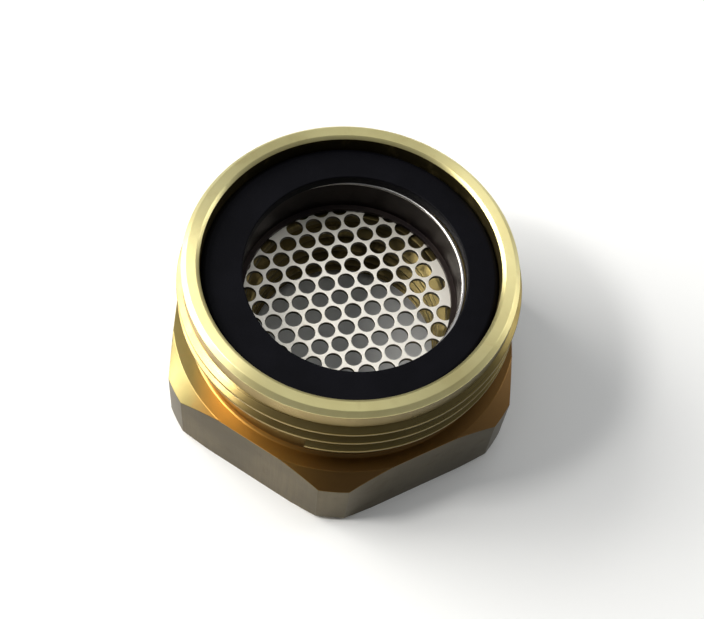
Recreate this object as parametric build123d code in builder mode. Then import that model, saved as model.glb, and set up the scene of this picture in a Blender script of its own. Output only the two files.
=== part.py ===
from build123d import *
import os
from math import cos, hypot, radians, sin, sqrt, tan

# A screened brass muffler fitting. +Z runs along the bore, out of the male thread.
# The origin is the centre of the hexagon's end face, which the part stands on.
# All sizes are in millimetres.

# ---------------------------------------------------------------- driving dimensions
inch = 25.4

# Male thread: G 1 1/4 parallel pipe thread, right-hand.
male_major_radius = 41.91 / 2
male_root_radius = 38.952 / 2
male_pitch = inch / 11
male_crest_flat = 0.38

# Female thread: G 3/4 parallel pipe thread, right-hand.
female_major_radius = 26.441 / 2
female_minor_radius = 24.117 / 2
female_pitch = inch / 14
female_crest_flat = 0.3

flank_angle = 27.5

# Hexagon, with corners on the Y axis and flats facing +X and -X.
hex_across_flats = 42.6
hex_height = 10.9
hex_turned_radius = 23.6
hex_top_chamfer = 1.9
hex_foot_chamfer_height = 0.7
hex_foot_chamfer_depth = 1.4

# Barrel above the hexagon.
total_height = 23.6
neck_fillet = 0.6
collar_radius = 20.3
collar_foot = 20.75
collar_lead = 0.3
rim_chamfer = 0.6
mouth_chamfer = 0.4

# Where the male thread starts and stops: bearings about +Z and the ridge's lowest height.
male_start_bearing = -101
male_start_height = 14.95
male_turns = 2.32

# Steps inside the bore, from the mouth down.
gasket_recess_radius = 18.1
gasket_recess_floor = 20.1
sleeve_bore_radius = 14.25
screen_seat = 14.1
throat_radius = 12.6
relief_radius = 13.4
relief_foot = 10.2
relief_top = 12.9
foot_mouth_relief = 0.2

# Perforated screen.
screen_radius = 14.15
screen_thickness = 0.5
screen_hole_radius = 1.0
screen_hole_pitch = 2.5
screen_row_bearing = 14.3
screen_first_hole = (-1.31, 6.78)
least_web = 0.16
screen_cut_reach = 1.6
screen_lattice_steps = 14

# Sleeve that holds the screen down.
sleeve_outer_radius = 14.2
sleeve_inner_radius = 13.6
sleeve_lip_radius = 12.95
sleeve_lip_thickness = 0.6
sleeve_top_clearance = 0.05
sleeve_top_round = 0.25

# Face gasket. It fills its recess, has a round outer shoulder, and its hole sits towards +X.
gasket_outer_radius = 18.0
gasket_inner_radius = 13.6
gasket_thickness = 1.5
gasket_hole_shift = 0.6
gasket_shoulder_radius = 0.7
gasket_edge_radius = 0.2

screen_top = screen_seat + screen_thickness


def helical_bar(pitch, turns, near_radius, near_width, far_radius):
    """A bar with sloping flanks wound round +Z from +X, its middle starting at height 0."""
    far_width = near_width - 2 * abs(far_radius - near_radius) * tan(radians(flank_angle))
    helix = Helix(pitch=pitch, height=pitch * turns, radius=near_radius)
    with BuildPart() as bar:
        with BuildSketch(Plane.XZ):
            with BuildLine():
                Polyline(
                    (near_radius, -near_width / 2),
                    (far_radius, -far_width / 2),
                    (far_radius, far_width / 2),
                    (near_radius, near_width / 2),
                    close=True,
                )
            make_face()
        sweep(path=helix, is_frenet=True)
    return bar.part


# ---------------------------------------------------------------- threads
# The ridge starts inside the barrel and is trimmed at the major radius, so its crest is a true cylinder.
ridge_sink = 0.3
ridge_extra = 0.1
ridge_foot_radius = male_root_radius - ridge_sink
ridge_foot_width = male_crest_flat + 2 * (male_major_radius - ridge_foot_radius) * tan(radians(flank_angle))

with BuildPart() as male_ridge:
    add(
        helical_bar(
            male_pitch, male_turns, ridge_foot_radius, ridge_foot_width, male_major_radius + ridge_extra
        ).rotate(Axis.Z, male_start_bearing).moved(Location((0, 0, male_start_height)))
    )
    Cylinder(
        male_major_radius,
        total_height,
        align=(Align.CENTER, Align.CENTER, Align.MIN),
        mode=Mode.INTERSECT,
    )

# The female groove starts inside the bore, so the lands between its turns stay at the minor radius.
groove_lead_turns = 1.2
groove_lead = groove_lead_turns * female_pitch
groove_mouth_radius = female_minor_radius - ridge_sink
groove_mouth_width = female_pitch - female_crest_flat + 2 * ridge_sink * tan(radians(flank_angle))
groove_turns = (relief_foot + groove_lead + female_pitch / 2) / female_pitch
female_groove = helical_bar(
    female_pitch, groove_turns, groove_mouth_radius, groove_mouth_width, female_major_radius
).moved(Location((0, 0, -groove_lead)))

# ---------------------------------------------------------------- body
foot_mouth_radius = female_major_radius + foot_mouth_relief
foot_mouth_depth = foot_mouth_radius - female_minor_radius

with BuildPart() as body:
    with BuildSketch():
        RegularPolygon(hex_across_flats / 2, 6, major_radius=False, rotation=30)
    extrude(amount=hex_height)
    # Turning the bar leaves round corners, chamfered above and below.
    with BuildSketch(Plane.XZ):
        with BuildLine():
            Polyline(
                (0, 0),
                (hex_turned_radius - hex_foot_chamfer_depth, 0),
                (hex_turned_radius, hex_foot_chamfer_height),
                (hex_turned_radius, hex_height - hex_top_chamfer),
                (hex_turned_radius - hex_top_chamfer, hex_height),
                (0, hex_height),
                close=True,
            )
        make_face()
    revolve(axis=Axis.Z, mode=Mode.INTERSECT)
    # Barrel: fillet, neck at the thread's root, and a plain collar with its lead chamfer.
    with BuildSketch(Plane.XZ):
        with BuildLine():
            Polyline(
                (0, hex_height - hex_top_chamfer),
                (male_root_radius, hex_height - hex_top_chamfer),
                (male_root_radius, collar_foot - collar_lead),
                (collar_radius, collar_foot),
                (collar_radius, total_height - rim_chamfer),
                (collar_radius - rim_chamfer, total_height),
                (0, total_height),
                close=True,
            )
        make_face()
    revolve(axis=Axis.Z)
    shoulder_edges = body.edges().filter_by_position(Axis.Z, hex_height - 0.01, hex_height + 0.01)
    fillet(shoulder_edges.filter_by(GeomType.CIRCLE).sort_by(SortBy.RADIUS)[0], neck_fillet)
    add(male_ridge.part)
    # Bore, from the foot of the hexagon to the mouth.
    with BuildSketch(Plane.XZ):
        with BuildLine():
            Polyline(
                (0, 0),
                (foot_mouth_radius, 0),
                (female_minor_radius, foot_mouth_depth),
                (female_minor_radius, relief_foot),
                (relief_radius, relief_foot + relief_radius - female_minor_radius),
                (relief_radius, relief_top - relief_radius + throat_radius),
                (throat_radius, relief_top),
                (throat_radius, screen_seat),
                (sleeve_bore_radius, screen_seat),
                (sleeve_bore_radius, gasket_recess_floor),
                (gasket_recess_radius, gasket_recess_floor),
                (gasket_recess_radius, total_height - mouth_chamfer),
                (gasket_recess_radius + mouth_chamfer, total_height),
                (0, total_height),
                close=True,
            )
        make_face()
    revolve(axis=Axis.Z, mode=Mode.SUBTRACT)
    add(female_groove, mode=Mode.SUBTRACT)
body.part.label = "body"

# ---------------------------------------------------------------- screen
# Blanked from sheet with staggered holes, so the rows sit anyhow and the rim cuts through some holes.
rows = range(-screen_lattice_steps, screen_lattice_steps + 1)
hole_places = []
for row in rows:
    for step in rows:
        along = screen_hole_pitch * (step + row / 2)
        across = screen_hole_pitch * row * sqrt(3) / 2
        turn = radians(screen_row_bearing)
        x = screen_first_hole[0] + along * cos(turn) - across * sin(turn)
        y = screen_first_hole[1] + along * sin(turn) + across * cos(turn)
        reach = hypot(x, y) + screen_hole_radius
        whole = reach < screen_radius - least_web
        cut_through = screen_radius + least_web < reach < screen_radius + screen_cut_reach * screen_hole_radius
        if whole or cut_through:
            hole_places.append((x, y))

with BuildPart() as screen:
    with BuildSketch(Plane.XY.offset(screen_seat)):
        Circle(screen_radius)
        with Locations(*hole_places):
            Circle(screen_hole_radius, mode=Mode.SUBTRACT)
    extrude(amount=screen_thickness)
screen.part.label = "screen"

# ---------------------------------------------------------------- sleeve
sleeve_top = gasket_recess_floor - sleeve_top_clearance
with BuildPart() as sleeve:
    with BuildSketch(Plane.XZ):
        with BuildLine():
            Polyline(
                (sleeve_lip_radius, screen_top),
                (sleeve_outer_radius, screen_top),
                (sleeve_outer_radius, sleeve_top),
                (sleeve_inner_radius, sleeve_top),
                (sleeve_inner_radius, screen_top + sleeve_lip_thickness),
                (sleeve_lip_radius, screen_top + sleeve_lip_thickness),
                close=True,
            )
        face = make_face()
        top_corners = face.vertices().group_by(Axis.Y)[-1]
        fillet(top_corners, sleeve_top_round)
    revolve(axis=Axis.Z)
sleeve.part.label = "sleeve"

# ---------------------------------------------------------------- gasket
with BuildPart() as gasket:
    with BuildSketch(Plane.XY.offset(gasket_recess_floor)):
        Circle(gasket_outer_radius)
        with Locations((gasket_hole_shift, 0)):
            Circle(gasket_inner_radius, mode=Mode.SUBTRACT)
    extrude(amount=gasket_thickness)
    gasket_rims = gasket.edges().filter_by(GeomType.CIRCLE).sort_by(SortBy.RADIUS)
    gasket_shoulder = gasket_rims[2:].sort_by(Axis.Z)[-1]
    fillet(gasket_rims[:2], gasket_edge_radius)
    fillet(gasket_shoulder, gasket_shoulder_radius)
gasket.part.label = "gasket"

# ---------------------------------------------------------------- export
os.makedirs("parts", exist_ok=True)
export_step(body.part, "parts/body.step")
export_step(screen.part, "parts/screen.step")
export_step(sleeve.part, "parts/sleeve.step")
export_step(gasket.part, "parts/gasket.step")
print("screen holes:", len(hole_places))
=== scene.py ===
import math

import bmesh
import bpy
from mathutils import Matrix, Vector


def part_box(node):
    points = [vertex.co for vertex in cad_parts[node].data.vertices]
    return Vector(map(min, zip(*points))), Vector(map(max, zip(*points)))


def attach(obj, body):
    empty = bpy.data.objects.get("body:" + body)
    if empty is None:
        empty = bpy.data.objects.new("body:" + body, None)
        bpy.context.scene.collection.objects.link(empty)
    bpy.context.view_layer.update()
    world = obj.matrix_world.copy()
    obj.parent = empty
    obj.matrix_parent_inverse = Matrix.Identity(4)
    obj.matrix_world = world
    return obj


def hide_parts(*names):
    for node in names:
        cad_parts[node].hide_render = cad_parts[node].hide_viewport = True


# A screened brass fitting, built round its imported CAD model. Sizes in the dictionaries are in millimetres.

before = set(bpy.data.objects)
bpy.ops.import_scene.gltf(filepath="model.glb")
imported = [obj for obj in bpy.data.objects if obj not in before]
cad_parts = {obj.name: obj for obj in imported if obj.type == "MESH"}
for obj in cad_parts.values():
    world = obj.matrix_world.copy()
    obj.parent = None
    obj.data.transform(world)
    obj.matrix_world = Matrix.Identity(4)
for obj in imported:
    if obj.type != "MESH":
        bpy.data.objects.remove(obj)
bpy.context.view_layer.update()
mm = 0.001


# Making shapes

def clearSelection():
    if bpy.context.mode != "OBJECT":
        bpy.ops.object.mode_set(mode="OBJECT")
    bpy.ops.object.select_all(action="DESELECT")


def makeActive(piece):
    clearSelection()
    piece.select_set(True)
    bpy.context.view_layer.objects.active = piece


def pick(kind, test):  # kind is verts, edges or faces of the piece in edit mode
    mode = {"verts": "VERT", "edges": "EDGE", "faces": "FACE"}[kind]
    bpy.ops.mesh.select_mode(type=mode)
    bpy.ops.mesh.select_all(action="DESELECT")
    mesh = bpy.context.edit_object.data
    shape = bmesh.from_edit_mesh(mesh)
    for part in getattr(shape, kind):
        if test(part):
            part.select_set(True)
    shape.select_flush_mode()
    bmesh.update_edit_mesh(mesh)


def roundEdges(width, segments, sharpness):  # every edge sharper than that many degrees
    bpy.ops.mesh.select_mode(type="EDGE")
    bpy.ops.mesh.select_all(action="DESELECT")
    bpy.ops.mesh.edges_select_sharp(sharpness=math.radians(sharpness))
    bpy.ops.mesh.bevel(offset=width * mm, offset_type="OFFSET", segments=segments, affect="EDGES")


def placeInMesh():
    bpy.ops.object.mode_set(mode="OBJECT")
    bpy.ops.object.transform_apply(location=True, rotation=True, scale=True)


def turnRings(name, rings, segments=192, centre=(0, 0), hollow=True, rounding=None):
    # rings are (radius, height) in order; hollow joins the last to the first, else both ends are closed flat
    clearSelection()
    radius, height = rings[0]
    bpy.ops.mesh.primitive_circle_add(
        vertices=segments, radius=radius * mm, location=(centre[0] * mm, centre[1] * mm, height * mm)
    )
    piece = bpy.context.object
    piece.name = name
    bpy.ops.object.mode_set(mode="EDIT")
    bpy.ops.mesh.select_mode(type="EDGE")
    bpy.ops.mesh.select_all(action="SELECT")
    for nextRadius, nextHeight in rings[1:]:
        bpy.ops.mesh.extrude_region_move(TRANSFORM_OT_translate={"value": (0, 0, (nextHeight - height) * mm)})
        bpy.ops.transform.resize(value=(nextRadius / radius, nextRadius / radius, 1))
        radius, height = nextRadius, nextHeight
    bpy.ops.mesh.select_mode(type="EDGE")
    bpy.ops.mesh.select_all(action="DESELECT")
    bpy.ops.mesh.select_non_manifold()
    if hollow:
        bpy.ops.mesh.bridge_edge_loops()
    else:
        bpy.ops.mesh.fill_holes(sides=0)
    bpy.ops.mesh.select_all(action="SELECT")
    bpy.ops.mesh.normals_make_consistent(inside=False)
    if rounding:
        roundEdges(*rounding)
    placeInMesh()
    return piece


def windBar(name, bar, steps):
    # a bar with sloping sides wound round +Z, its thin edge towards farRadius
    clearSelection()
    depth = bar["farRadius"] - bar["nearRadius"]
    middle = (bar["farRadius"] + bar["nearRadius"]) / 2
    farWidth = bar["nearWidth"] - 2 * abs(depth) * math.tan(math.radians(bar["flank"]))
    bpy.ops.mesh.primitive_plane_add(
        size=1, location=(middle * mm, 0, bar["start"] * mm), rotation=(math.pi / 2, 0, 0)
    )
    piece = bpy.context.object
    piece.name = name
    piece.scale = (abs(depth) * mm, bar["nearWidth"] * mm, 1)
    placeInMesh()
    bpy.ops.object.mode_set(mode="EDIT")
    far = bar["farRadius"] * mm
    pick("verts", lambda v: abs(v.co.x - far) < 0.01 * mm)
    bpy.ops.transform.resize(value=(1, 1, farWidth / bar["nearWidth"]))
    bpy.ops.mesh.bevel(offset=bar["crestRound"] * mm, segments=3, affect="VERTICES")
    bpy.ops.mesh.select_all(action="SELECT")
    bpy.ops.mesh.delete(type="ONLY_FACE")
    bpy.ops.object.mode_set(mode="OBJECT")
    screw = piece.modifiers.new("wind", "SCREW")
    screw.axis = "Z"
    screw.angle = bar["turns"] * math.tau
    screw.screw_offset = bar["turns"] * bar["pitch"] * mm
    screw.steps = screw.render_steps = round(steps * bar["turns"])
    screw.use_smooth_shade = False
    bpy.ops.object.modifier_apply(modifier=screw.name)
    bpy.ops.object.mode_set(mode="EDIT")
    bpy.ops.mesh.select_mode(type="EDGE")
    bpy.ops.mesh.select_all(action="DESELECT")
    bpy.ops.mesh.select_non_manifold()
    bpy.ops.mesh.fill_holes(sides=0)
    bpy.ops.mesh.select_all(action="SELECT")
    bpy.ops.mesh.normals_make_consistent(inside=False)
    bpy.ops.object.mode_set(mode="OBJECT")
    piece.rotation_euler.z = math.radians(bar["bearing"])
    bpy.ops.object.transform_apply(rotation=True)
    return piece


def combine(piece, tool, operation):
    makeActive(piece)
    step = piece.modifiers.new(operation.lower(), "BOOLEAN")
    step.operation, step.solver, step.object = operation, "MANIFOLD", tool
    bpy.ops.object.modifier_apply(modifier=step.name)
    bpy.data.objects.remove(tool)
    piece.data.materials.clear()


def giveFaces(piece, number, test):  # the faces that pass the test take that material slot
    makeActive(piece)
    bpy.ops.object.mode_set(mode="EDIT")
    pick("faces", test)
    piece.active_material_index = number
    bpy.ops.object.material_slot_assign()
    bpy.ops.object.mode_set(mode="OBJECT")


def finishShading(piece, angle):
    makeActive(piece)
    bpy.ops.object.shade_smooth_by_angle(angle=math.radians(angle))
    weighted = piece.modifiers.new("flats", "WEIGHTED_NORMAL")
    weighted.mode, weighted.keep_sharp = "FACE_AREA", True
    bpy.ops.object.modifier_apply(modifier=weighted.name)


# Making finishes

class Wire:  # one socket's output, so that finishes read as sums
    def __init__(self, finish, socket):
        self.finish, self.socket = finish, socket

    def work(self, operation, first, second):
        return self.finish.node("ShaderNodeMath", {"operation": operation}, {0: first, 1: second})

    def __add__(self, other):
        return self.work("ADD", self, other)

    def __mul__(self, other):
        return self.work("MULTIPLY", self, other)

    def __sub__(self, other):
        return self.work("SUBTRACT", self, other)

    def __rsub__(self, other):
        return self.work("SUBTRACT", other, self)

    def __pow__(self, other):
        return self.work("POWER", self, other)

    __radd__, __rmul__ = __add__, __mul__


class Finish:  # a material being wired, or the room's light when it is given a world
    def __init__(self, name, world=None):
        self.material = world or bpy.data.materials.new(name)
        self.material.use_nodes = True
        self.tree = self.material.node_tree
        self.tree.nodes.clear()
        self.place = self.node("ShaderNodeTexCoord", out="Generated" if world else "Object")
        self.x = self.node("ShaderNodeSeparateXYZ", {}, {0: self.place})
        self.y, self.z = Wire(self, self.x.socket.node.outputs[1]), Wire(self, self.x.socket.node.outputs[2])
        self.radius = (self.x * self.x + self.y * self.y) ** 0.5

    def node(self, kind, settings=None, sockets=None, out=0):
        made = self.tree.nodes.new(kind)
        for name, value in (settings or {}).items():
            if name == "stops":
                while len(made.color_ramp.elements) < len(value):
                    made.color_ramp.elements.new(0.5)
                for element, (position, colour) in zip(made.color_ramp.elements, value):
                    element.position, element.color = position, (*colour, 1)
            else:
                setattr(made, name, value)
        for name, value in (sockets or {}).items():
            if isinstance(value, Wire):
                self.tree.links.new(value.socket, made.inputs[name])
            else:
                made.inputs[name].default_value = value
        return None if out is None else Wire(self, made.outputs[out])

    def noise(self, scale, detail=3, rough=0.5, vector=None, distortion=0):
        return self.node(
            "ShaderNodeTexNoise",
            {},
            {"Vector": vector or self.place, "Scale": scale, "Detail": detail, "Roughness": rough,
             "Distortion": distortion},
        )

    def lines(self, position, scale, detail=2):  # noise along one length only
        return self.node(
            "ShaderNodeTexNoise", {"noise_dimensions": "1D"}, {"W": position, "Scale": scale, "Detail": detail}
        )

    def stretched(self, x, y, z):
        return self.node("ShaderNodeVectorMath", {"operation": "MULTIPLY"}, {0: self.place, 1: (x, y, z)})

    def ease(self, value, low, high):  # 0 below low, 1 above high
        return self.node(
            "ShaderNodeMapRange",
            {"interpolation_type": "SMOOTHSTEP"},
            {"Value": value, "From Min": low, "From Max": high, "To Min": 0.0, "To Max": 1.0},
        )

    def mix(self, share, first, second):
        return self.node("ShaderNodeMix", {"data_type": "RGBA"}, {0: share, 6: first, 7: second}, out=2)

    def close(self, uniform, varying, height=None, bumpDistance=0.02, bumpStrength=1.0):
        shader = self.tree.nodes.new("ShaderNodeBsdfPrincipled")
        for name, value in uniform.items():
            shader.inputs[name].default_value = value
        for name, value in varying.items():
            self.tree.links.new(value.socket, shader.inputs[name])
        if height:
            bump = self.node(
                "ShaderNodeBump", {}, {"Height": height, "Distance": bumpDistance * mm, "Strength": bumpStrength}
            )
            self.tree.links.new(bump.socket, shader.inputs["Normal"])
        output = self.tree.nodes.new("ShaderNodeOutputMaterial")
        self.tree.links.new(shader.outputs[0], output.inputs[0])
        return self.material


def colour(*values):
    return (*values, 1)


def brassFinish(name, change):
    look = dict(brassLook, **change)
    f = Finish(name)
    along = f.radius + f.z * 0.7  # runs across the tool marks on faces and barrels alike
    marks = f.lines(along, look["markScale"], 3)
    broad = f.noise(90, 4, 0.55)
    fine = f.noise(1400, 2, 0.5)
    grain = f.noise(1, 2, 0.6, f.stretched(*look["grain"]))
    base = f.mix(f.ease(broad, 0.35, 0.65), look["light"], look["dark"])
    smear = f.ease(f.noise(260, 5, 0.62, distortion=0.4), 0.52, 0.75)
    base = f.mix(smear * look["stain"], base, look["stainColour"])
    base = f.mix(f.ease(grain, 0.3, 0.8) * look["grainTone"], base, look["dark"])
    paintedReflection = f.ease(f.x, look["paintedReflectionFrom"] * mm, look["paintedReflectionTo"] * mm) * look["paintedReflection"]  # painted reflection: a warm orange tint away from -X, standing in for the lit barrel seen in the hex top
    base = f.mix(paintedReflection, base, look["paintedReflectionColour"])
    paintedShade = f.ease(f.x, look["paintedShadeFrom"] * mm, look["paintedShadeTo"] * mm) * look["paintedShade"]  # painted shade: darker towards +X, the side turned away from the left lamps
    base = f.mix(paintedShade, base, look["paintedShadeColour"])
    rough = look["roughness"] + (broad - 0.5) * 0.10 + (marks - 0.5) * look["markRoughness"] + smear * 0.06
    height = marks * look["markDepth"] + grain * look["grainDepth"] + fine * look["fineDepth"]
    turned = {"Metallic": 1.0, "Anisotropic": look["turned"], "Anisotropic Rotation": 0.25}
    return f.close(turned, {"Base Color": base, "Roughness": rough}, height, 0.02)


brassLook = {
    "light": colour(0.82, 0.74, 0.37), "dark": colour(0.73, 0.64, 0.30), "stainColour": colour(0.55, 0.42, 0.17),
    "stain": 0.25, "roughness": 0.33, "turned": 0.6, "markScale": 7500, "markDepth": 0.18, "markRoughness": 0.06,
    "grain": (700, 700, 700), "grainTone": 0.15, "grainDepth": 0.12, "fineDepth": 0.1,
    "paintedReflection": 0.0, "paintedReflectionFrom": -19, "paintedReflectionTo": -14, "paintedReflectionColour": colour(0.56, 0.275, 0.055),
    "paintedShade": 0.0, "paintedShadeFrom": -8, "paintedShadeTo": 4, "paintedShadeColour": colour(0.20, 0.15, 0.06),
}
rimChange = {"roughness": 0.40, "turned": 0.88}
# collar, thread and neck: a darker copy of the brass, the darkness painted shade on these upright walls
barrelChange = {
    "light": colour(0.42, 0.31, 0.12), "dark": colour(0.28, 0.20, 0.07), "stainColour": colour(0.20, 0.12, 0.04),
    "stain": 0.4, "roughness": 0.29, "turned": 0.7, "markDepth": 0.3,
    "paintedShade": 0.8, "paintedShadeFrom": -13, "paintedShadeTo": 12, "paintedShadeColour": colour(0.13, 0.105, 0.04),
}
# hex top: a darker copy of the brass, the darkness painted shade; it also carries the painted reflection and the
# painted shade towards +X
shoulderChange = {
    "light": colour(0.31, 0.26, 0.11), "dark": colour(0.23, 0.185, 0.07), "stainColour": colour(0.30, 0.14, 0.04),
    "stain": 0.4, "roughness": 0.36, "paintedReflection": 0.9,
    "paintedShade": 0.92, "paintedShadeFrom": -12, "paintedShadeTo": 1, "paintedShadeColour": colour(0.13, 0.072, 0.026),
}
# hex flats: a much darker copy of the brass, the darkness painted shade; the long grain is the bar's own
barChange = {
    "light": colour(0.130, 0.098, 0.046), "dark": colour(0.082, 0.062, 0.028), "stainColour": colour(0.08, 0.06, 0.04),
    "stain": 0.25, "roughness": 0.40, "turned": 0.0, "markDepth": 0.0, "markRoughness": 0.0,
    "grain": (3200, 3200, 160), "grainTone": 0.6, "grainDepth": 0.5, "fineDepth": 0.25,
    "paintedShade": 0.6, "paintedShadeFrom": -6, "paintedShadeTo": 4, "paintedShadeColour": colour(0.055, 0.044, 0.019),
}
# inside the bore: a darker copy of the brass, the darkness painted shade
boreChange = {
    "light": colour(0.16, 0.125, 0.05), "dark": colour(0.085, 0.065, 0.026), "stain": 0.5, "roughness": 0.34,
    "markScale": 3200, "markDepth": 0.6,
}


def steelFinish(name, look):
    f = Finish(name)
    along = f.radius + f.z * 0.7
    marks = f.lines(along, look["markScale"], 3)
    broad = f.noise(120, 4, 0.6)
    fine = f.noise(2600, 2, 0.55)
    base = f.mix(f.ease(broad, 0.35, 0.7), look["light"], look["dark"])
    spots = f.ease(f.noise(900, 3, 0.6), 0.62, 0.74)
    base = f.mix(spots * look["spots"], base, look["spotColour"])
    rough = look["roughness"] + (broad - 0.5) * 0.12 + spots * 0.15
    height = marks * look["markDepth"] + fine * look["fineDepth"]
    return f.close({"Metallic": 1.0}, {"Base Color": base, "Roughness": rough}, height, 0.015)


# the screen's steel is set much brighter than the sleeve's, and that extra brightness is painted light on the webs
screenLook = {
    "light": colour(0.97, 0.93, 0.85), "dark": colour(0.88, 0.84, 0.75), "spotColour": colour(0.60, 0.54, 0.45),
    "spots": 0.5, "roughness": 0.56, "markScale": 10, "markDepth": 0.0, "fineDepth": 0.5,
}
sleeveLook = {
    "light": colour(0.62, 0.60, 0.58), "dark": colour(0.46, 0.44, 0.44), "spotColour": colour(0.30, 0.26, 0.24),
    "spots": 0.4, "roughness": 0.24, "markScale": 5200, "markDepth": 0.4, "fineDepth": 0.1,
}
# hole walls, rim and underside of the screen: a much darker copy of its steel, painted shade
screenPaintedShadeChange = {
    "light": colour(0.20, 0.18, 0.14), "dark": colour(0.12, 0.11, 0.08), "roughness": 0.45,
}
# inner wall of the sleeve: a near-black copy of its steel, painted shade and a painted reflection of the dark gasket
sleeveWallPaintedChange = {
    "light": colour(0.026, 0.020, 0.018), "dark": colour(0.015, 0.012, 0.013),
    "spotColour": colour(0.08, 0.06, 0.045), "spots": 0.3, "roughness": 0.5,
}


def rubberFinish(name):
    f = Finish(name)
    broad = f.noise(150, 4, 0.6)
    fine = f.noise(3800, 3, 0.6)
    dust = f.ease(f.noise(1900, 4, 0.7), 0.64, 0.8)
    base = f.mix(f.ease(broad, 0.3, 0.7), colour(0.0014, 0.0014, 0.0026), colour(0.0026, 0.0026, 0.0044))
    base = f.mix(dust * 0.35, base, colour(0.012, 0.012, 0.016))
    rough = 0.52 + (broad - 0.5) * 0.16 + dust * 0.2
    return f.close({"Specular IOR Level": 0.07}, {"Base Color": base, "Roughness": rough}, fine + broad * 2, 0.02)


print("finishes")
barrelBrass = brassFinish("barrelBrass", barrelChange)
rimBrass = brassFinish("rimBrass", rimChange)
shoulderBrass = brassFinish("shoulderBrass", shoulderChange)
barBrass = brassFinish("barBrass", barChange)
boreBrass = brassFinish("boreBrass", boreChange)
screenSteel = steelFinish("screenSteel", screenLook)
screenPaintedShadeSteel = steelFinish("screenPaintedShadeSteel", dict(screenLook, **screenPaintedShadeChange))
sleeveSteel = steelFinish("sleeveSteel", sleeveLook)
sleeveWallPaintedSteel = steelFinish("sleeveWallPaintedSteel", dict(sleeveLook, **sleeveWallPaintedChange))
blackRubber = rubberFinish("blackRubber")


def arc(centreRadius, centreHeight, size, fromAngle, toAngle, count):  # rings round a corner, in degrees
    rings = []
    for i in range(count + 1):
        angle = math.radians(fromAngle + (toAngle - fromAngle) * i / count)
        rings.append((centreRadius + size * math.cos(angle), centreHeight + size * math.sin(angle)))
    return rings


# Brass body

print("brass body")
low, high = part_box("body")
acrossFlats = (high.x - low.x) / mm
topHeight = high.z / mm

bodyPart = {
    "hexHeight": 10.9, "turnedRadius": 23.6, "topChamfer": 1.9, "footChamfer": 0.7, "hexRound": 0.06,
    "rootRadius": 19.476, "neckFillet": 0.6, "collarRadius": 20.3, "collarFoot": 20.75, "collarLead": 0.3,
    "rimChamfer": 0.6, "mouthChamfer": 0.4, "rimRound": 0.07,
    "recessRadius": 18.1, "recessFloor": 20.1, "sleeveBore": 14.25, "screenSeat": 14.1,
    "throat": 12.6, "reliefRadius": 13.4, "reliefFoot": 10.2, "reliefTop": 12.9,
    "femaleMinor": 12.0585, "femaleMajor": 13.2205, "footMouth": 13.4205,
}
maleRidge = {
    "nearRadius": 19.176, "farRadius": 20.955, "flank": 27.5, "crestRound": 0.09, "pitch": 25.4 / 11,
    "turns": 2.32, "start": 14.95, "bearing": -101,
}
crestFlat = 0.38
ridgeDepth = maleRidge["farRadius"] - maleRidge["nearRadius"]
maleRidge["nearWidth"] = crestFlat + 2 * ridgeDepth * math.tan(math.radians(maleRidge["flank"]))
femalePitch = 25.4 / 14
grooveLead = 1.2 * femalePitch
femaleGroove = {
    "nearRadius": 11.7585, "farRadius": 13.2205, "flank": 27.5, "crestRound": 0.08, "pitch": femalePitch,
    "start": -grooveLead, "bearing": 0,
}
femaleGroove["nearWidth"] = femalePitch - 0.3 + 2 * 0.3 * math.tan(math.radians(27.5))
femaleGroove["turns"] = (bodyPart["reliefFoot"] + grooveLead + femalePitch / 2) / femalePitch


def makeHexagon(b):
    clearSelection()
    bpy.ops.mesh.primitive_cylinder_add(
        vertices=6, radius=acrossFlats / 2 / math.cos(math.pi / 6) * mm, depth=b["hexHeight"] * mm,
        location=(0, 0, b["hexHeight"] / 2 * mm),
    )
    hexagon = bpy.context.object
    hexagon.name = "brassBody"
    bpy.ops.object.transform_apply(location=True)
    over = 1.0  # the turning tool runs past both ends
    turning = turnRings(
        "turning",
        [
            (b["turnedRadius"] - b["footChamfer"] * 2 - over * 2, -over),
            (b["turnedRadius"], b["footChamfer"]),
            (b["turnedRadius"], b["hexHeight"] - b["topChamfer"]),
            (b["turnedRadius"] - b["topChamfer"] - over, b["hexHeight"] + over),
        ],
        hollow=False,
    )
    combine(hexagon, turning, "INTERSECT")
    bpy.ops.object.mode_set(mode="EDIT")
    roundEdges(b["hexRound"], 2, 20)
    bpy.ops.object.mode_set(mode="OBJECT")
    return hexagon


def makeBarrel(b):
    sunk = 0.02  # the fillet's foot starts just under the hexagon's face
    fillet = arc(
        b["rootRadius"] + b["neckFillet"], b["hexHeight"] + b["neckFillet"] - sunk, b["neckFillet"], 270, 180, 6
    )
    return turnRings(
        "barrel",
        [
            (b["rootRadius"] + b["neckFillet"], b["hexHeight"] - 2),
            *fillet,
            (b["rootRadius"], b["collarFoot"] - b["collarLead"]),
            (b["collarRadius"], b["collarFoot"]),
            (b["collarRadius"], topHeight - b["rimChamfer"]),
            (b["collarRadius"] - b["rimChamfer"], topHeight),
            (b["recessRadius"] + b["mouthChamfer"], topHeight),
            (b["recessRadius"], topHeight - b["mouthChamfer"]),
            (b["recessRadius"], b["recessFloor"]),
            (b["sleeveBore"], b["recessFloor"]),
            (b["sleeveBore"], b["screenSeat"]),
            (b["throat"], b["screenSeat"]),
            (b["throat"], b["reliefTop"] - 0.2),
        ],
        hollow=False,
        rounding=(b["rimRound"], 2, 25),
    )


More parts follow.
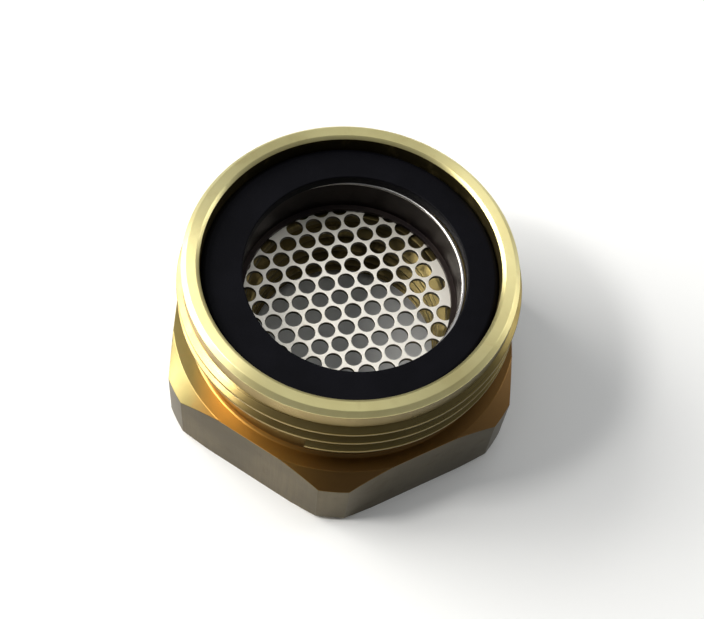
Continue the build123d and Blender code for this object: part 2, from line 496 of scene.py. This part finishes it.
def makeBoreTool(b):
    over = 1.0
    slope = b["reliefRadius"] - b["throat"]
    return turnRings(
        "boreTool",
        [
            (b["footMouth"] + over, -over),
            (b["femaleMinor"], b["footMouth"] - b["femaleMinor"]),
            (b["femaleMinor"], b["reliefFoot"]),
            (b["reliefRadius"], b["reliefFoot"] + b["reliefRadius"] - b["femaleMinor"]),
            (b["reliefRadius"], b["reliefTop"] - slope),
            (b["throat"] - 0.2, b["reliefTop"] + 0.2),
        ],
        hollow=False,
    )


brassBody = makeHexagon(bodyPart)
print("  hexagon", len(brassBody.data.vertices))
combine(brassBody, makeBarrel(bodyPart), "UNION")
print("  barrel", len(brassBody.data.vertices))
combine(brassBody, windBar("ridge", maleRidge, 128), "UNION")
print("  ridge", len(brassBody.data.vertices))
combine(brassBody, makeBoreTool(bodyPart), "DIFFERENCE")
print("  bore", len(brassBody.data.vertices))
combine(brassBody, windBar("groove", femaleGroove, 96), "DIFFERENCE")
print("  groove", len(brassBody.data.vertices))


def giveBrass(piece, b):
    def place(face):  # how far out a face reaches, and how high its middle is
        reach = max(math.hypot(v.co.x, v.co.y) for v in face.verts)
        return reach / mm, face.calc_center_median().z / mm

    def onRim(face):
        reach, height = place(face)
        return reach > b["recessRadius"] - 0.02 and height > topHeight - b["rimChamfer"] - 0.1

    def onShoulder(face):
        reach, height = place(face)
        low = b["hexHeight"] - b["topChamfer"] - 0.2
        return reach > b["rootRadius"] and low < height < b["hexHeight"] + b["neckFillet"] and face.normal.z > 0.3

    def onFlats(face):
        reach, height = place(face)
        return reach > 20.9 and height < b["hexHeight"] + 0.1 and abs(face.normal.z) < 0.3

    def inBore(face):
        reach, height = place(face)
        return reach < b["recessRadius"] + 0.02 and 0.6 < height < topHeight - b["mouthChamfer"] + 0.02

    # every face but the rim takes a darker copy of the brass, and that darkness is painted shade
    finishes = (
        (barrelBrass, lambda face: True), (rimBrass, onRim), (shoulderBrass, onShoulder),
        (barBrass, onFlats), (boreBrass, inBore),
    )
    for number, (material, test) in enumerate(finishes):
        piece.data.materials.append(material)
        giveFaces(piece, number, test)


giveBrass(brassBody, bodyPart)
finishShading(brassBody, 30)
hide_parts("body")
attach(brassBody, "fitting")

# Perforated screen

print("screen")
low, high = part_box("screen")
screenPart = {
    "radius": 14.15, "foot": low.z / mm, "top": high.z / mm,  # its box is smaller, as holes cut the rim
    "holeRadius": 1.0, "cutRadius": 1.07, "holePitch": 2.5, "holeRound": 0.04,
    "rowBearing": 14.3, "firstHole": (-1.31, 6.78),
    "leastWeb": 0.16, "cutReach": 1.6, "rimRound": 0.08,
}


def holePlaces(s):
    places = []
    turn = math.radians(s["rowBearing"])
    reachSteps = 14
    for row in range(-reachSteps, reachSteps + 1):
        for step in range(-reachSteps, reachSteps + 1):
            along = s["holePitch"] * (step + row / 2)
            across = s["holePitch"] * row * math.sqrt(3) / 2
            x = s["firstHole"][0] + along * math.cos(turn) - across * math.sin(turn)
            y = s["firstHole"][1] + along * math.sin(turn) + across * math.cos(turn)
            reach = math.hypot(x, y) + s["holeRadius"]
            whole = reach < s["radius"] - s["leastWeb"]
            cut = s["radius"] + s["leastWeb"] < reach < s["radius"] + s["cutReach"] * s["holeRadius"]
            if whole or cut:
                places.append((x, y))
    return places


def makeScreen(s):
    plate = turnRings(
        "screenPlate", [(s["radius"], s["foot"]), (s["radius"], s["top"])], 160, hollow=False,
        rounding=(s["rimRound"], 2, 40),
    )
    past = 0.4  # the punch runs on past both sides of the sheet
    lift = 0.004  # the rounding ends just above the sheet, so no ring lies in its face
    flare = arc(s["cutRadius"] + s["holeRound"], s["top"] + lift - s["holeRound"], s["holeRound"], 180, 90, 3)
    punch = turnRings(
        "punch",
        [(s["cutRadius"], s["foot"] - past), *flare, (s["cutRadius"] + s["holeRound"], s["top"] + past)],
        28, hollow=False,
    )
    punches = []
    for x, y in holePlaces(s):
        tool = punch.copy()
        tool.data = punch.data.copy()
        tool.data.transform(Matrix.Translation((x * mm, y * mm, 0)))
        bpy.context.collection.objects.link(tool)
        punches.append(tool)
    bpy.data.objects.remove(punch)
    clearSelection()
    for tool in punches:
        tool.select_set(True)
    bpy.context.view_layer.objects.active = punches[0]
    bpy.ops.object.join()
    combine(plate, bpy.context.object, "DIFFERENCE")
    return plate


screenPlate = makeScreen(screenPart)
print("  screen", len(screenPlate.data.vertices))
screenPlate.data.materials.append(screenSteel)
screenPlate.data.materials.append(screenPaintedShadeSteel)
# faces turned away from above take the dark copy: painted shade in the holes and underneath
giveFaces(screenPlate, 1, lambda face: face.normal.z < 0.35)
finishShading(screenPlate, 35)
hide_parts("screen")
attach(screenPlate, "strainer")

# Sleeve that holds the screen down

print("sleeve")
low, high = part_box("sleeve")
sleevePart = {
    "outer": 14.2, "inner": 13.6, "lip": 12.95, "lipThickness": 0.6, "foot": low.z / mm, "top": high.z / mm,
    "edge": 0.25,
}


def onSleeveWall(face, s):  # its inner wall, below the rounded top edge
    middle = face.calc_center_median()
    reach = math.hypot(middle.x, middle.y) / mm
    return reach < s["inner"] + 0.02 and middle.z / mm < s["top"] - s["edge"]


s = sleevePart
sleeveRing = turnRings(
    "sleeveRing",
    [
        (s["lip"], s["foot"]),
        (s["outer"], s["foot"]),
        *arc(s["outer"] - s["edge"], s["top"] - s["edge"], s["edge"], 0, 90, 4),
        *arc(s["inner"] + s["edge"], s["top"] - s["edge"], s["edge"], 90, 180, 4),
        (s["inner"], s["foot"] + s["lipThickness"]),
        (s["lip"], s["foot"] + s["lipThickness"]),
    ],
    rounding=(0.1, 2, 50),
)
sleeveRing.data.materials.append(sleeveSteel)
sleeveRing.data.materials.append(sleeveWallPaintedSteel)
# the inner wall takes the near-black copy: painted shade and reflection of the gasket
giveFaces(sleeveRing, 1, lambda face: onSleeveWall(face, sleevePart))
finishShading(sleeveRing, 35)
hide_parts("sleeve")
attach(sleeveRing, "retainer")

# Face gasket

print("gasket")
low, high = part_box("gasket")
gasketPart = {
    "outer": (high.x - low.x) / 2 / mm, "inner": 13.6, "holeShift": 0.6, "foot": low.z / mm, "top": high.z / mm,
    "shoulder": 0.7, "edge": 0.2,
}


def makeGasket(g):
    shoulder = arc(g["outer"] - g["shoulder"], g["top"] - g["shoulder"], g["shoulder"], 0, 90, 6)
    ring = turnRings(
        "gasketRing",
        [(g["inner"], g["foot"]), (g["outer"], g["foot"]), *shoulder, (g["inner"], g["top"])],
        160,
        rounding=(g["edge"], 3, 50),
    )
    bpy.ops.object.mode_set(mode="EDIT")
    middle = (g["inner"] + g["outer"]) / 2 * mm
    pick("verts", lambda v: math.hypot(v.co.x, v.co.y) < middle)
    bpy.ops.transform.translate(value=(g["holeShift"] * mm, 0, 0))
    bpy.ops.object.mode_set(mode="OBJECT")
    return ring


gasketRing = makeGasket(gasketPart)
gasketRing.data.materials.append(blackRubber)
finishShading(gasketRing, 35)
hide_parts("gasket")
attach(gasketRing, "seal")

# Floor, light and camera

print("studio")
studio = {
    "floorSize": 3.0, "floorLight": colour(0.90, 0.90, 0.89), "floorDark": colour(0.88, 0.88, 0.87),
    "roomColour": colour(0.95, 0.97, 1.0), "roomFront": 0.15, "roomBack": 0.42,
    "lights": [
        # name, place, size, radiance, colour
        ("leftSoftbox", (-0.32, 0.10, 0.218), 0.28, 8.5, (1.0, 0.985, 0.95)),
        ("lowLeftSoftbox", (-0.40, -0.03, 0.11), 0.12, 7.0, (1.0, 0.985, 0.95)),
        ("backSoftbox", (0.02, 0.26, 0.44), 0.40, 0.2, (1.0, 1.0, 1.0)),
        ("rightSoftbox", (0.32, 0.12, 0.20), 0.16, 4.0, (1.0, 1.0, 1.0)),
        ("streakSoftbox", (-0.31, -0.055, 0.39), 0.08, 40.0, (1.0, 0.985, 0.96)),
        ("topSoftbox", (0.0, 0.02, 0.50), 0.20, 1.2, (0.97, 1.0, 0.93)),
    ],
}
clearSelection()
bpy.ops.mesh.primitive_plane_add(size=studio["floorSize"], location=(0, 0, 0))
floor = bpy.context.object
floor.name = "floor"
f = Finish("paleFloor")
floorTone = f.mix(f.noise(6, 2), studio["floorLight"], studio["floorDark"])
floor.data.materials.append(f.close({"Roughness": 0.8, "Specular IOR Level": 0.2}, {"Base Color": floorTone}))

world = bpy.data.worlds.new("softRoom")
f = Finish("softRoom", world)
strength = studio["roomFront"] + f.ease(f.y, -0.6, 0.5) * (studio["roomBack"] - studio["roomFront"])
room = f.node("ShaderNodeBackground", {}, {"Color": studio["roomColour"], "Strength": strength})
f.node("ShaderNodeOutputWorld", {}, {"Surface": room}, out=None)
bpy.context.scene.world = world

target = Vector((0, 0, 0.014))
for name, place, size, radiance, tone in studio["lights"]:
    lamp = bpy.data.lights.new(name, "AREA")
    lamp.size, lamp.energy, lamp.color = size, radiance * math.pi * size * size, tone
    holder = bpy.data.objects.new(name, lamp)
    holder.location = place
    holder.rotation_euler = (target - Vector(place)).to_track_quat("-Z", "Y").to_euler()
    bpy.context.collection.objects.link(holder)

cameraView = {"elevation": 60.37, "bearing": -4.07, "roll": 8.02, "distance": 167.64, "right": -0.004, "up": -5.754,
              "focal": 72.06}
lens = bpy.data.cameras.new("camera")
lens.lens, lens.sensor_width = cameraView["focal"], 36
lens.clip_start, lens.clip_end = 0.001, 20
camera = bpy.data.objects.new("camera", lens)
turn = (
    Matrix.Rotation(math.radians(cameraView["bearing"]), 3, "Z")
    @ Matrix.Rotation(math.radians(90 - cameraView["elevation"]), 3, "X")
    @ Matrix.Rotation(math.radians(cameraView["roll"]), 3, "Z")
)
offset = Vector((cameraView["right"], cameraView["up"], cameraView["distance"])) * mm
camera.matrix_world = Matrix.Translation(Vector((0, 0, topHeight * mm)) + turn @ offset) @ turn.to_4x4()
bpy.context.collection.objects.link(camera)
bpy.context.scene.camera = camera
bpy.context.scene.view_settings.view_transform = "Standard"
